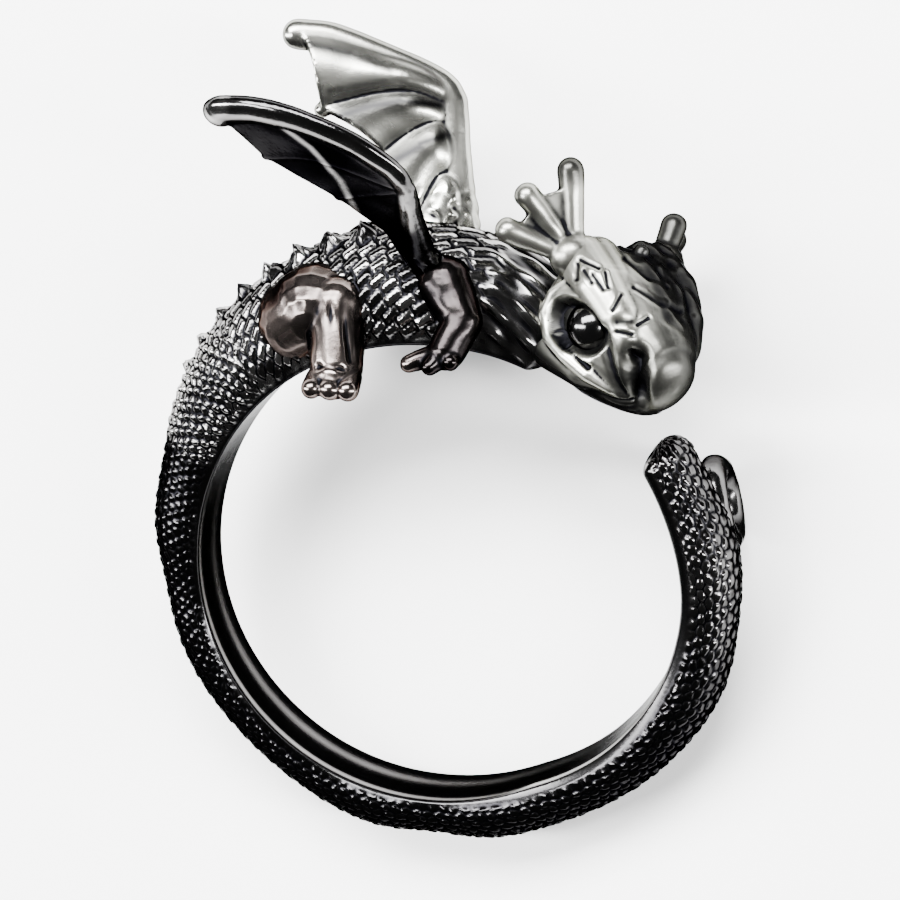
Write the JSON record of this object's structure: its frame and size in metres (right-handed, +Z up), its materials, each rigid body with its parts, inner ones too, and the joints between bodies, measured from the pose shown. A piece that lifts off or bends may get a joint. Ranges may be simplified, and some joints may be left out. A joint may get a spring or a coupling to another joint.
{
  "type": "dragon ring",
  "caption": "Open finger ring cast as a small winged dragon curled round the finger, its tail's tip ending under its chin; the open band springs to size.",
  "frame": {"origin": "centre of the bounding box at its base, on the table that the ring lies on", "axes": "+Z up from the table; the ring lies on its far side, its finger axis leaning 12 degrees from +Z; +Y from the bottom of the band to the dragon's back; +X towards its head"},
  "size_m": [0.0222, 0.03, 0.0136],
  "materials": {
    "casting": "polished gunmetal plating, blackened in the recesses"
  },
  "bodies": {
    "root": {"dragon_ring": "casting"}
  },
  "joints": []
}
